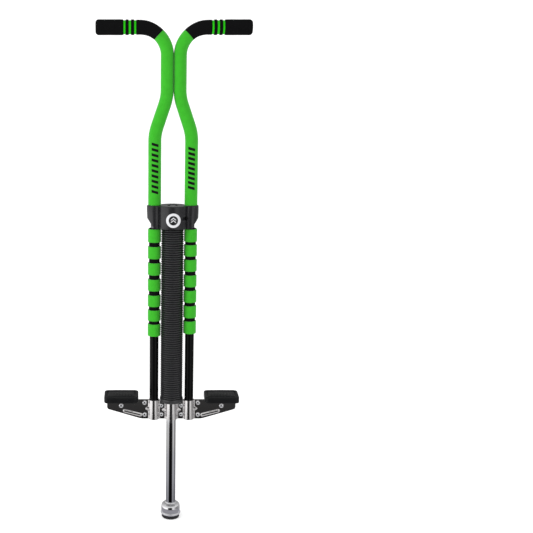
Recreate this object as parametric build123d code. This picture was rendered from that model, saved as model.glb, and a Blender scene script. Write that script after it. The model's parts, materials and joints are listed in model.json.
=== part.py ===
"""Pogo stick: a bracket with two foot pegs on twin side tubes, two swept handles and a sprung plunger.

Millimetres, +Z up. The origin is the centre of the rubber tip's sole, X runs along the handles and
pegs, and the side that faces -Y is the front. Each piece is written to parts/NODE.step.
"""

from build123d import *

from math import cos, radians, sin
import os

# ---- driving dimensions ------------------------------------------------------------------------

# Side tubes and handles
TUBE_R = 10.0            # frame and handle tubes, outside
TUBE_WALL = 1.5
TUBE_X = 39.7            # half the distance between the side tubes
SPIGOT_R = 8.3           # joins a frame tube to its handle tube
SPIGOT_WALL = 1.3
FOAM_GAP = 0.15          # between a tube and the foam on it
HANDLE_Z = 1107.0        # centre line of the grips
GRIP_END_X = 165.0
GRIP_END_WALL = 3.0
NECK_X = 14.0            # the handles run side by side here
TOP_BEND_R = 57.0
NECK_FOOT_Z = 978.5
S_BEND_R = 100.0
S_BEND_ANGLE = 18.5
SLEEVE_R = 13.8
SLEEVE_FOOT_Z = 731.2
SLEEVE_START_ANGLE = 47.0  # round the top bend, from the neck
CURVED_GRIP_R = 15.0
CURVED_GRIP_END_X = 79.5
STRIPE_R = 14.4
STRIPE_CORE_R = 13.0     # under the black rings
GRIP_RING_R = 16.1
GRIP_RING_X = (84.0, 95.5)
GRIP_RING_W = 6.5
END_GRIP_R = 16.2
END_GRIP_X = 106.5
END_GRIP_ROUND = 4.0

# Collar
COLLAR_Z = (681.0, 731.0)
BARREL_R = 33.0
EAR_R = 17.0
EAR_TOP = (57.0, 724.0)
EAR_KNEE = (55.8, 704.0)
EAR_FOOT = (39.3, 679.3)
BELLOWS_POCKET_H = 4.0
BELLOWS_POCKET_R = 25.2
BOLT_POCKET_R = 12.2
BOLT_POCKET_H = 8.0
BOLT_R = 4.0
BOLT_GRIP = 20.0         # length of bolt in the guide rod
HEX_ACROSS = 13.0
HEX_H = 5.5
WASHER_R = 8.5
WASHER_H = 1.5
SPIGOT_TOP_Z = 726.0
SPIGOT_FOOT_Z = 600.0
HANDLE_FOOT_Z = 692.0
COLLAR_PIN_Z = 685.5
FRAME_RIVET_Z = 625.0
PIN_R = 2.0

# Snap buttons, one in front of the right tube and one behind the left tube
BUTTON_Z = 704.0
BUTTON_ANGLE = 34.0      # towards the barrel, from straight ahead
BUTTON_R = 3.0
BUTTON_REACH = 17.8      # from the tube's centre line to the button's face
BOSS_R = 4.6             # the collar's flat-faced boss round the button
BOSS_REACH = 18.4
BUTTON_ROOT = 4.5        # the moving arm's outer face
BUTTON_ARM = (5.0, 0.6, 13.0)  # width, thickness, height
LEAF_ROOT = -6.4         # the fixed arm's outer face
LEAF_W = 3.0
LEAF_TONGUE_H = 3.0
HOLE_GAP = 0.3
BEVEL = 1.0

# Bracket of two pressed plates
PLATE_T = 2.0
PLATE_TOP_Z = 286.3
PLATE_FOOT_Z = 240.7
NOTCH_Z = 282.0
NOTCH_X = 26.0
WING_X = 146.5
WING_KNEE_X = 68.5
WING_RISE = 0.30
WING_CORNER_R = 4.5
CENTRE_SOCKET_R = 14.0
FLANGE_X = (84.0, 143.0)
FLANGE_Y = 20.0
WING_RIVETS = ((60.8, 278.9), (60.8, 250.4), (114.2, 271.7))
INNER_RIVETS = ((22.3, 272.0), (22.3, 251.0))
RIVET_R = 2.5
RIVET_HEAD_R = 5.1
INNER_HEAD_R = 4.6
RIVET_HEAD_H = 2.6
BEAD_ENDS = ((106.5, 259.4), (70.5, 250.2))
BEAD_W = 6.5
BEAD_H = 1.5
DARTS = ((TUBE_X + TUBE_R, 265.0), (CENTRE_SOCKET_R - PLATE_T, 262.0))  # each one's root and height
DART_R = 6.0
DART_L = 9.0

# Foot pegs
PEG_X = (75.0, 152.5)
PEG_Y = 28.0
PEG_Z = (285.0, 299.4)
PEG_CORNER_R = 7.0
PEG_RIM = 5.0
PEG_RECESS = 2.2
PAD_MARGIN = 4.0
PAD_H = 1.6
POCKET_GAP = 0.3
PEG_SCREWS = ((95.0, 11.0), (132.0, 11.0), (95.0, -11.0), (132.0, -11.0))
SCREW_R = 2.5
SCREW_HEAD_R = 4.5
SCREW_HEAD_H = 2.4
SCREW_L = 8.0

# Foam on the frame tubes
CORE_R = 12.0
CORE_TOP_Z = 680.8
RING_R = 14.6
RING_TOP_Z = 679.2
RING_LENGTHS = {            # from the top down, unevenly cut
    "left": (29.5, 27.0, 27.0, 26.0, 25.5, 24.5, 27.5),
    "right": (28.0, 25.0, 26.0, 26.0, 27.0, 27.0, 28.5),
}
RING_GAPS = {"left": (9.5, 9.5, 10.0, 10.0, 8.5, 7.5), "right": (7.0, 8.0, 9.0, 8.5, 8.0, 8.0)}

# Bellows
BELLOWS_R = 24.9
BELLOWS_VALLEY_R = 22.6
BELLOWS_BORE_R = 21.4
BELLOWS_Z = (287.2, 684.8)
RIB_Z = (292.0, 679.0)
RIBS = 77

# Plunger, spring and foot
PLUNGER_R = 11.0
PLUNGER_WALL = 2.0
PLUNGER_Z = (24.0, 330.0)
RUN_GAP = 0.05           # radial, in the two guide bushes
TOP_BUSH_Z = (305.0, 330.0)
ROD_R = 6.0
ROD_Z = (250.0, 685.0)
SPRING_R = 16.0
SPRING_WIRE_R = 3.0
SPRING_TURNS = 32
SPRING_GAP = 0.3
SEAT_R = 19.5
SEAT_BOSS_R = 12.6
SEAT_BOSS_H = 8.0
SEAT_BORE_R = 6.3
LOWER_SEAT_Z = (330.1, 334.0)
UPPER_SEAT_Z = (672.0, 685.0)
STOP_R = 15.5
STOP_Z = (285.1, 295.0)
BUSH_FLANGE_R = 15.9
BUSH_FLANGE_H = 3.0
CAP_R = 26.4
CUP_R = 22.6
CUP_MOUTH_Z = 9.6
CUP_BORE_R = 20.6
CUP_WEB_Z = (20.0, 24.0)
TIP_R = 20.4
TIP_STEM_R = 6.0

SIDES = {"left": -1, "right": 1}


# ---- helpers -----------------------------------------------------------------------------------

def turned(*outline):
    """A solid of revolution about Z from (radius, height) points."""
    return revolve(Plane.XZ * make_face(Polyline(*outline, close=True)), Axis.Z)


def ring(outer, inner, low, high):
    """A plain tube about Z."""
    return turned((inner, low), (outer, low), (outer, high), (inner, high))


def rod(radius, low, high):
    """A plain cylinder about Z."""
    return Pos(0, 0, (low + high) / 2) * Cylinder(radius, high - low)


def bevelled_rod(radius, low, high):
    """A cylinder about Z with its top edge taken off."""
    return turned((0, low), (radius, low), (radius, high - BEVEL), (radius - BEVEL, high), (0, high))


def along_x(radius, start, end, z):
    """A cylinder along X at height z."""
    return Pos((start + end) / 2, 0, z) * Rot(0, 90, 0) * Cylinder(radius, abs(end - start))


def along_y(radius, start, end, x, z):
    """A cylinder along Y at (x, z)."""
    return Pos(x, (start + end) / 2, z) * Rot(90, 0, 0) * Cylinder(radius, abs(end - start))


def slab(x, y, z):
    """A box from three (low, high) pairs."""
    size = [high - low for low, high in (x, y, z)]
    return Pos(*[(low + high) / 2 for low, high in (x, y, z)]) * Box(*size)


def prism(outline, depth):
    """A plate from (x, z) points, depth thick to each side of Y = 0."""
    return extrude(Plane.XZ * make_face(Polyline(*outline, close=True)), depth, both=True)


def on_side(shape, side):
    """A shape drawn on the right, moved to the side it belongs to."""
    return shape if side > 0 else mirror(shape, Plane.YZ)


def group(shapes):
    """Several separate solids as one node."""
    return Compound(children=[solid for shape in shapes for solid in shape.solids()])


# ---- handles -----------------------------------------------------------------------------------

def bend_point(angle):
    """The centre line's point on the top bend, so many degrees round from the neck."""
    x = NECK_X + TOP_BEND_R * (1 - cos(radians(angle)))
    return Vector(x, 0, HANDLE_Z - TOP_BEND_R * (1 - sin(radians(angle))))


def bend_heading(angle):
    """The way the centre line goes there, from the grip down to the neck."""
    return Vector(-sin(radians(angle)), 0, -cos(radians(angle)))


def grip_edges(start_x, end_angle):
    """The centre line along the grip and round the top bend."""
    grip_foot = bend_point(90)
    return [
        Line((start_x, 0, HANDLE_Z), grip_foot),
        TangentArc(grip_foot, bend_point(end_angle), tangent=bend_heading(90)),
    ]


def neck_edges(start_angle):
    """The centre line from the top bend, past the neck and out to the collar: two arcs and a straight."""
    turn = radians(S_BEND_ANGLE)
    slope = Vector(sin(turn), 0, -cos(turn))
    arc = Vector(S_BEND_R * (1 - cos(turn)), 0, -S_BEND_R * sin(turn))
    slope_length = (TUBE_X - NECK_X - 2 * arc.X) / sin(turn)
    neck_foot = Vector(NECK_X, 0, NECK_FOOT_Z)
    slope_top = neck_foot + arc
    slope_foot = slope_top + slope * slope_length
    straight_top = slope_foot + arc
    return [
        TangentArc(bend_point(start_angle), bend_point(0), tangent=bend_heading(start_angle)),
        Line(bend_point(0), neck_foot),
        TangentArc(neck_foot, slope_top, tangent=(0, 0, -1)),
        Line(slope_top, slope_foot),
        TangentArc(slope_foot, straight_top, tangent=slope),
    ], straight_top


def handle_wire(edges):
    """One wire from edges that run on from each other."""
    return Wire([edge.edge() for edge in edges])


def pipe(outer, inner, path):
    """A round tube along a path."""
    start = Plane(origin=path @ 0, z_dir=path % 0)
    return sweep(start * Circle(outer), path=path) - sweep(start * Circle(inner), path=path)


def handle_tube(side):
    """The steel tube inside the grip and the sleeve. Its foot slides over the spigot."""
    neck, straight_top = neck_edges(SLEEVE_START_ANGLE)
    edges = grip_edges(GRIP_END_X - GRIP_END_WALL, SLEEVE_START_ANGLE) + neck
    edges.append(Line(straight_top, (TUBE_X, 0, HANDLE_FOOT_Z)))
    tube = pipe(TUBE_R, TUBE_R - TUBE_WALL, handle_wire(edges))
    return on_side(tube, side) - button_hole(side)


def handle_sleeve():
    """The coloured foam from the top bend down to the collar."""
    neck, straight_top = neck_edges(SLEEVE_START_ANGLE)
    edges = neck + [Line(straight_top, (TUBE_X, 0, SLEEVE_FOOT_Z))]
    return pipe(SLEEVE_R, TUBE_R + FOAM_GAP, handle_wire(edges))


def curved_grip():
    """The black foam round the outer half of the top bend."""
    centre = handle_wire(grip_edges(CURVED_GRIP_END_X, SLEEVE_START_ANGLE))
    return pipe(CURVED_GRIP_R, TUBE_R + FOAM_GAP, centre)


def handle_ring(outer, inner, start, end):
    """A foam ring on the straight part of the handle."""
    return along_x(outer, start, end, HANDLE_Z) - along_x(inner, start - 1, end + 1, HANDLE_Z)


def stripe_sleeve():
    """The coloured sleeve whose three stripes show between the grips and the black rings."""
    sleeve = handle_ring(STRIPE_R, TUBE_R + FOAM_GAP, CURVED_GRIP_END_X, END_GRIP_X)
    for x in GRIP_RING_X:
        sleeve -= handle_ring(STRIPE_R + 1, STRIPE_CORE_R, x, x + GRIP_RING_W)
    return sleeve


def grip_rings():
    """The two black rings that sit in the stripe sleeve's grooves."""
    return group([handle_ring(GRIP_RING_R, STRIPE_CORE_R, x, x + GRIP_RING_W) for x in GRIP_RING_X])


def end_grip():
    """The closed grip at the handle's end."""
    grip = along_x(END_GRIP_R, END_GRIP_X, GRIP_END_X, HANDLE_Z)
    end_edge = grip.edges().filter_by(GeomType.CIRCLE).sort_by(Axis.X)[-1]
    grip = fillet(end_edge, END_GRIP_ROUND)
    return grip - along_x(TUBE_R + FOAM_GAP, END_GRIP_X - 1, GRIP_END_X - GRIP_END_WALL, HANDLE_Z)


# ---- collar and snap buttons -------------------------------------------------------------------

def facing_button(shape, side):
    """A shape drawn about the Z axis, with +X outwards, moved to a button. The left is a half-turn on."""
    turned_shape = Pos(TUBE_X, 0, BUTTON_Z) * Rot(0, 0, -90 - BUTTON_ANGLE) * shape
    return turned_shape if side > 0 else Rot(0, 0, 180) * turned_shape


def button_hole(side):
    """The radial hole for a button, from the tube's centre line outwards."""
    length = 2 * EAR_R - 2
    hole = Rot(0, 90, 0) * Cylinder(BUTTON_R + HOLE_GAP, length)
    return facing_button(Pos(1 + length / 2, 0, 0) * hole, side)


def button_boss(side):
    """The boss that gives a button's hole an even rim between the barrel and the ear."""
    boss = Rot(0, 90, 0) * Cylinder(BOSS_R, BOSS_REACH)
    return facing_button(Pos(BOSS_REACH / 2, 0, 0) * boss, side)


def snap_button(side):
    """A button and the arm of its spring that presses it outwards."""
    pin_l = BUTTON_REACH - BUTTON_ROOT
    pin = Pos(BUTTON_ROOT + pin_l / 2, 0, 0) * Rot(0, 90, 0) * Cylinder(BUTTON_R, pin_l)
    face_edge = pin.edges().filter_by(GeomType.CIRCLE).sort_by(Axis.X)[-1]
    pin = fillet(face_edge, BUTTON_R / 4)
    width, thick, height = BUTTON_ARM
    arm = Pos(BUTTON_ROOT - thick / 2, 0, BUTTON_R - height / 2) * Box(thick, width, height)
    return facing_button(pin + arm, side)


def button_leaf(side):
    """The fixed arm and the fold of that spring, against the far wall of the spigot."""
    width, thick, height = BUTTON_ARM
    low = BUTTON_R - height - LEAF_TONGUE_H
    back = Pos(LEAF_ROOT + thick / 2, 0, (low + BUTTON_R) / 2) * Box(thick, LEAF_W, BUTTON_R - low)
    fold_l = BUTTON_ROOT - LEAF_ROOT
    fold = Pos(LEAF_ROOT + fold_l / 2, 0, low + thick / 2) * Box(fold_l, LEAF_W, thick)
    tongue_h = LEAF_TONGUE_H - HOLE_GAP
    tongue = Pos(BUTTON_ROOT - thick / 2, 0, low + tongue_h / 2) * Box(thick, LEAF_W, tongue_h)
    return facing_button(back + fold + tongue, side)


def spigot_tube(side):
    """The bright tube that joins the frame tube, the collar and the handle tube."""
    x = side * TUBE_X
    tube = Pos(x, 0, 0) * ring(SPIGOT_R, SPIGOT_R - SPIGOT_WALL, SPIGOT_FOOT_Z, SPIGOT_TOP_Z)
    tube -= button_hole(side)
    tube -= along_y(PIN_R, -SPIGOT_R, EAR_R, x, COLLAR_PIN_Z)
    return tube - along_y(PIN_R, -EAR_R, EAR_R, x, FRAME_RIVET_Z)


def collar_bores(side):
    """What one pair of tubes, its button and its pin take out of the collar."""
    low, high = COLLAR_Z
    x = side * TUBE_X
    bores = Pos(x, 0, 0) * rod(SPIGOT_R + FOAM_GAP, low - 5, high)
    bores += Pos(x, 0, 0) * rod(TUBE_R + FOAM_GAP, HANDLE_FOOT_Z, high + 1)
    bores += button_hole(side)
    return bores + along_y(PIN_R, -SPIGOT_R, EAR_R + 1, x, COLLAR_PIN_Z)


def collar():
    """The moulded collar: a barrel with an ear round each tube, cut away at a slant below."""
    low, high = COLLAR_Z
    body = bevelled_rod(BARREL_R, low, high)
    for side in SIDES.values():
        body += Pos(side * TUBE_X, 0, 0) * bevelled_rod(EAR_R, low, high)
        body += button_boss(side)
    beyond = TUBE_X + EAR_R + 5
    below = low - 9
    corners = [EAR_TOP, EAR_KNEE, EAR_FOOT, (EAR_FOOT[0], below), (beyond, below), (beyond, EAR_TOP[1])]
    slant = prism(corners, EAR_R + 1)
    for side in SIDES.values():
        body -= on_side(slant, side)
    for side in SIDES.values():
        body -= collar_bores(side)
    body -= rod(BELLOWS_POCKET_R, low - 1, low + BELLOWS_POCKET_H)
    body -= rod(BOLT_POCKET_R, high - BOLT_POCKET_H, high + 1)
    return body - rod(BOLT_R + HOLE_GAP, low, high)


def collar_bolt():
    """The hexagon bolt that hangs the guide rod from the collar."""
    head_z = COLLAR_Z[1] - BOLT_POCKET_H + WASHER_H
    head = Pos(0, 0, head_z) * extrude(RegularPolygon(HEX_ACROSS / 2, 6, major_radius=False), HEX_H)
    top = head_z + HEX_H
    corner_r = HEX_ACROSS / 2 + 1.1
    head &= turned((0, head_z), (corner_r, head_z), (corner_r, top - 1), (corner_r - 1.4, top), (0, top))
    return head + rod(BOLT_R, ROD_Z[1] - BOLT_GRIP, head_z)


def collar_washer():
    """The washer under the bolt's head."""
    low = COLLAR_Z[1] - BOLT_POCKET_H
    return ring(WASHER_R, BOLT_R + HOLE_GAP, low, low + WASHER_H)


def collar_pins():
    """Pins pressed in from the back of the collar, through the two spigots."""
    head = EAR_R - 1.0
    return group([along_y(PIN_R, -SPIGOT_R, head, side * TUBE_X, COLLAR_PIN_Z) for side in SIDES.values()])


def frame_rivets():
    """Rivets through the frame tubes and spigots, under the foam."""
    reach = TUBE_R - HOLE_GAP
    return group([along_y(PIN_R, -reach, reach, side * TUBE_X, FRAME_RIVET_Z) for side in SIDES.values()])


# ---- frame tubes and foam ----------------------------------------------------------------------

def frame_tube():
    """The black side tube between the bracket and the collar."""
    tube = Pos(TUBE_X, 0, 0) * ring(TUBE_R, TUBE_R - TUBE_WALL, PLATE_FOOT_Z, RING_TOP_Z - 1)
    return tube - along_y(PIN_R, -EAR_R, EAR_R, TUBE_X, FRAME_RIVET_Z)


def ring_spans(name):
    """Each foam ring's foot and top, from the top one down."""
    spans = []
    top = RING_TOP_Z
    for length, gap in zip(RING_LENGTHS[name], RING_GAPS[name] + (0.0,)):
        spans.append((top - length, top))
        top -= length + gap
    return spans


def foam_core(name):
    """The black foam tube that carries the rings."""
    foot = ring_spans(name)[-1][0]
    return Pos(TUBE_X, 0, 0) * ring(CORE_R, TUBE_R + FOAM_GAP, foot, CORE_TOP_Z)


def foam_rings(name):
    """The coloured rings."""
    return group([Pos(TUBE_X, 0, 0) * ring(RING_R, CORE_R, *span) for span in ring_spans(name)])


# ---- bracket -----------------------------------------------------------------------------------

def plate_outline():
    """The plates' outline on the right, as a prism."""
    tip_z = PLATE_FOOT_Z + (WING_X - WING_KNEE_X) * WING_RISE
    outline = prism([
        (0, PLATE_FOOT_Z), (WING_KNEE_X, PLATE_FOOT_Z), (WING_X, tip_z), (WING_X, PLATE_TOP_Z),
        (NOTCH_X, PLATE_TOP_Z), (NOTCH_X, NOTCH_Z), (0, NOTCH_Z),
    ], 30)
    lower_corner = outline.edges().filter_by(Axis.Y).sort_by(Axis.X)[-2:].sort_by(Axis.Z)[0]
    return fillet(lower_corner, WING_CORNER_R)


def half_plate():
    """The right half of the front plate."""
    top = PLATE_TOP_Z
    plate = slab((0, WING_X), (-PLATE_T, 0), (PLATE_FOOT_Z, top)) & plate_outline()
    plate += Pos(TUBE_X, 0, 0) * rod(TUBE_R + PLATE_T, PLATE_FOOT_Z, top)
    plate += rod(CENTRE_SOCKET_R, PLATE_FOOT_Z, NOTCH_Z)
    for root, z in DARTS:
        plate += Pos(root + DART_L / 2, -PLATE_T, z) * Rot(0, 90, 0) * Cone(DART_R, 0.4, DART_L)
    plate += slab(FLANGE_X, (-FLANGE_Y, 0), (top - PLATE_T, top))
    (x1, z1), (x2, z2) = BEAD_ENDS
    for x, z in BEAD_ENDS:
        plate += along_y(BEAD_W / 2, -PLATE_T - BEAD_H, -PLATE_T / 2, x, z)
    bar = Vector(x2 - x1, 0, z2 - z1)
    tilt = Plane(origin=((x1 + x2) / 2, -PLATE_T, (z1 + z2) / 2), x_dir=bar, z_dir=(0, -1, 0))
    plate += tilt * Box(bar.length, BEAD_W, 2 * BEAD_H)
    for x, z in WING_RIVETS + INNER_RIVETS:
        plate -= along_y(RIVET_R, -9, 9, x, z)
    for x, y in PEG_SCREWS:
        plate -= Pos(x, y, 0) * rod(SCREW_R, top - 9, top + 9)
    plate -= Pos(TUBE_X, 0, 0) * rod(TUBE_R, PLATE_FOOT_Z - 1, top + 1)
    plate -= rod(CENTRE_SOCKET_R - PLATE_T, PLATE_FOOT_Z - 1, top + 1)
    return plate & slab((0, WING_X), (-30, 0), (PLATE_FOOT_Z, top))


def front_plate():
    """One pressed plate: a half-round socket for each tube, a raised bead and a flange under each peg."""
    half = half_plate()
    return half + mirror(half, Plane.YZ)


def rivet(x, z, head_r):
    """A rivet through both plates with a domed head at each end."""
    body = along_y(RIVET_R, -PLATE_T, PLATE_T, x, z)
    dome_r = (head_r ** 2 + RIVET_HEAD_H ** 2) / (2 * RIVET_HEAD_H)
    for way in (-1, 1):
        dome = Pos(x, way * (PLATE_T + RIVET_HEAD_H - dome_r), z) * Sphere(dome_r)
        dome &= along_y(dome_r, way * PLATE_T, way * (PLATE_T + dome_r), x, z)
        body += dome
    return body


def rivets(places, head_r):
    """The same rivets on both sides."""
    return group([rivet(side * x, z, head_r) for side in SIDES.values() for x, z in places])


def bracket_bush():
    """The nylon bush that guides the plunger in the bracket."""
    low, high = PLATE_FOOT_Z, NOTCH_Z + BUSH_FLANGE_H
    bore, outer = PLUNGER_R + RUN_GAP, CENTRE_SOCKET_R - PLATE_T
    flange, step = BUSH_FLANGE_R, NOTCH_Z
    return turned((bore, low), (outer, low), (outer, step), (flange, step), (flange, high), (bore, high))


def bellows_cap():
    """The moulded cap that the bellows stands in, on top of the bracket."""
    bore = BUSH_FLANGE_R + HOLE_GAP
    foot = NOTCH_Z
    return turned(
        (bore, foot), (CAP_R - 3, foot), (CAP_R - 1, foot + 1), (CAP_R, foot + 3), (CAP_R, foot + 8),
        (CAP_R - 1, foot + 10), (BELLOWS_R + 0.2, foot + 10), (BELLOWS_R + 0.2, BELLOWS_Z[0] - 0.2),
        (bore, BELLOWS_Z[0] - 0.2))


# ---- foot pegs ---------------------------------------------------------------------------------

def peg_tread():
    """The right-hand tread: a block with a rim, a sunk floor and a ribbed pad, hollow for the flanges."""
    low, high = PEG_Z
    x_mid = sum(PEG_X) / 2
    block = slab(PEG_X, (-PEG_Y, PEG_Y), PEG_Z)
    block = fillet(block.edges().filter_by(Axis.Z), PEG_CORNER_R)
    block = chamfer(block.faces().sort_by(Axis.Z)[-1].outer_wire().edges(), 0.8)
    floor = [edge + PEG_RIM * way for edge, way in zip(PEG_X, (1, -1))]
    sunk = slab(floor, (-PEG_Y + PEG_RIM, PEG_Y - PEG_RIM), (high - PEG_RECESS, high + 1))
    block -= fillet(sunk.edges().filter_by(Axis.Z), PEG_CORNER_R - 3)
    half_x = x_mid - floor[0] - PAD_MARGIN
    half_y = PEG_Y - PEG_RIM - PAD_MARGIN
    pad_foot = high - PEG_RECESS
    pad = slab((x_mid - half_x, x_mid + half_x), (-half_y, half_y), (pad_foot, pad_foot + PAD_H))
    block += fillet(pad.edges().filter_by(Axis.Z), 2.5)
    pocket_x = (FLANGE_X[0] - POCKET_GAP, WING_X + POCKET_GAP)
    pocket_y = FLANGE_Y + POCKET_GAP
    pocket_z = (low - 1, PLATE_TOP_Z)
    block -= slab(pocket_x, (-pocket_y, pocket_y), pocket_z)
    web_y = PLATE_T + POCKET_GAP
    block -= slab((PEG_X[0] - 1, PEG_X[1] - PEG_RIM), (-web_y, web_y), pocket_z)
    for x, y in PEG_SCREWS:
        block -= Pos(x, y, 0) * rod(SCREW_R, low, PLATE_TOP_Z - PLATE_T + SCREW_L)
    return block


def peg_screw(x, y):
    """A pan-head screw up through a flange into the tread."""
    face = PLATE_TOP_Z - PLATE_T
    screw = rod(SCREW_R, face, face + SCREW_L) + rod(SCREW_HEAD_R, face - SCREW_HEAD_H, face)
    return Pos(x, y, 0) * chamfer(screw.edges().filter_by(GeomType.CIRCLE).sort_by(Axis.Z)[0], 0.8)


# ---- bellows, spring and plunger ---------------------------------------------------------------

def bellows():
    """The corrugated cover round the spring, smooth inside, with a plain band at each end."""
    low, high = BELLOWS_Z
    rib_low, rib_high = RIB_Z
    pitch = (rib_high - rib_low) / RIBS
    outline = [(BELLOWS_BORE_R, low), (BELLOWS_R, low), (BELLOWS_R, rib_low - 1)]
    for i in range(RIBS):
        z = rib_low + i * pitch
        outline += [(BELLOWS_VALLEY_R, z), (BELLOWS_R, z + 0.35 * pitch), (BELLOWS_R, z + 0.75 * pitch)]
    outline += [(BELLOWS_VALLEY_R, rib_high), (BELLOWS_R, rib_high + 1)]
    outline += [(BELLOWS_R, high), (BELLOWS_BORE_R, high)]
    return turned(*outline)


def seat(flange_z, boss_z):
    """A spring seat: a flange, and a boss inside the spring."""
    return ring(SEAT_R, SEAT_BORE_R, *flange_z) + ring(SEAT_BOSS_R, SEAT_BORE_R, *boss_z)


def main_spring():
    """The compression spring between the plunger's seat and the collar's seat."""
    low = LOWER_SEAT_Z[1] + SPRING_GAP + SPRING_WIRE_R
    height = UPPER_SEAT_Z[0] - SPRING_GAP - SPRING_WIRE_R - low
    coil = Helix(height / SPRING_TURNS, height, SPRING_R)
    wire = sweep(Plane(origin=coil @ 0, z_dir=coil % 0) * Circle(SPRING_WIRE_R), path=coil, is_frenet=True)
    return Pos(0, 0, low) * wire


def plunger_tube():
    """The bright tube that slides in the bracket, with holes for the stop's screws."""
    tube = ring(PLUNGER_R, PLUNGER_R - PLUNGER_WALL, *PLUNGER_Z)
    return tube - along_x(PIN_R, -STOP_R, STOP_R, sum(STOP_Z) / 2)


def plunger_bush():
    """The nylon bush in the plunger's top, which runs on the guide rod."""
    return ring(PLUNGER_R - PLUNGER_WALL, ROD_R + RUN_GAP, *TOP_BUSH_Z)


def stop_collar():
    """The ring on the plunger that rests on the bracket's bush and keeps the plunger in."""
    return ring(STOP_R, PLUNGER_R, *STOP_Z) - along_x(PIN_R, -STOP_R - 1, STOP_R + 1, sum(STOP_Z) / 2)


def stop_screws():
    """The two grub screws that hold the stop on the plunger."""
    inner, outer = PLUNGER_R - PLUNGER_WALL + 0.3, STOP_R - 0.3
    return group([along_x(PIN_R, side * inner, side * outer, sum(STOP_Z) / 2) for side in SIDES.values()])


def foot_cup():
    """The bell-shaped steel foot on the plunger's end."""
    web_low, web_high = CUP_WEB_Z
    outline = Polyline(
        (PLUNGER_R, 37.5), (PLUNGER_R, web_high), (TIP_STEM_R, web_high), (TIP_STEM_R, web_low),
        (CUP_BORE_R, web_low), (CUP_BORE_R, CUP_MOUTH_Z), (CUP_R + 0.5, CUP_MOUTH_Z),
        (CUP_R + 0.5, CUP_MOUTH_Z + 2.6), (CUP_R, CUP_MOUTH_Z + 3.6), (CUP_R - 0.5, 26.5))
    shoulder = ThreePointArc((CUP_R - 0.5, 26.5), (20.6, 31.3), (16.5, 34.2))
    neck = Polyline((16.5, 34.2), (12.8, 35.6), (12.2, 37.5), (PLUNGER_R, 37.5))
    return revolve(Plane.XZ * make_face([outline, shoulder, neck]), Axis.Z)


def rubber_tip():
    """The tip: a rounded sole, a groove, and a stem up through the cup's web."""
    edge = 3.0
    foot = Polyline((0, 0), (TIP_R - edge, 0))
    rounded = ThreePointArc((TIP_R - edge, 0), (TIP_R - 0.29 * edge, 0.29 * edge), (TIP_R, edge))
    web_low, web_high = CUP_WEB_Z
    groove_r = TIP_R - 0.9
    rest = Polyline(
        (TIP_R, edge), (TIP_R, 4.6), (groove_r, 5.0), (groove_r, 5.8), (TIP_R, 6.2), (TIP_R, web_low),
        (TIP_STEM_R, web_low), (TIP_STEM_R, web_high + 1), (0, web_high + 1), (0, 0))
    return revolve(Plane.XZ * make_face([foot, rounded, rest]), Axis.Z)


# ---- every node --------------------------------------------------------------------------------

def shared_nodes():
    """The nodes on the centre line and the groups of fasteners."""
    front = front_plate()
    lower_boss = (LOWER_SEAT_Z[1], LOWER_SEAT_Z[1] + SEAT_BOSS_H)
    upper_boss = (UPPER_SEAT_Z[0] - SEAT_BOSS_H, UPPER_SEAT_Z[0])
    return {
        "collar": collar(),
        "collar_bolt": collar_bolt(),
        "collar_washer": collar_washer(),
        "collar_pins": collar_pins(),
        "frame_rivets": frame_rivets(),
        "front_plate": front,
        "back_plate": mirror(front, Plane.XZ),
        "wing_rivets": rivets(WING_RIVETS, RIVET_HEAD_R),
        "inner_rivets": rivets(INNER_RIVETS, INNER_HEAD_R),
        "bracket_bush": bracket_bush(),
        "peg_screws": group([peg_screw(side * x, y) for side in SIDES.values() for x, y in PEG_SCREWS]),
        "bellows_cap": bellows_cap(),
        "bellows": bellows(),
        "guide_rod": rod(ROD_R, *ROD_Z) - rod(BOLT_R, ROD_Z[1] - BOLT_GRIP, ROD_Z[1]),
        "upper_spring_seat": seat(UPPER_SEAT_Z, upper_boss),
        "lower_spring_seat": seat(LOWER_SEAT_Z, lower_boss),
        "main_spring": main_spring(),
        "plunger_tube": plunger_tube(),
        "plunger_bush": plunger_bush(),
        "stop_collar": stop_collar(),
        "stop_screws": stop_screws(),
        "foot_cup": foot_cup(),
        "rubber_tip": rubber_tip(),
    }


def side_nodes(name):
    """The nodes of one side."""
    side = SIDES[name]
    return {
        "handle_tube": handle_tube(side),
        "handle_sleeve": on_side(handle_sleeve(), side),
        "curved_grip": on_side(curved_grip(), side),
        "stripe_sleeve": on_side(stripe_sleeve(), side),
        "grip_rings": on_side(grip_rings(), side),
        "end_grip": on_side(end_grip(), side),
        "snap_button": snap_button(side),
        "button_leaf": button_leaf(side),
        "spigot_tube": spigot_tube(side),
        "frame_tube": on_side(frame_tube(), side),
        "foam_core": on_side(foam_core(name), side),
        "foam_rings": on_side(foam_rings(name), side),
        "peg_tread": on_side(peg_tread(), side),
    }


def nodes():
    """Every node's name and shape."""
    parts = shared_nodes()
    for name in SIDES:
        parts |= {f"{name}_{part}": shape for part, shape in side_nodes(name).items()}
    return parts


def main():
    os.makedirs("parts", exist_ok=True)
    for name, shape in nodes().items():
        export_step(shape, f"parts/{name}.step")


if __name__ == "__main__":
    main()
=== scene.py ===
"""Looks for the pogo stick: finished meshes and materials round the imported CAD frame, in metres."""

import json
import math

import bpy
from mathutils import Matrix, Vector, noise


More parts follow.
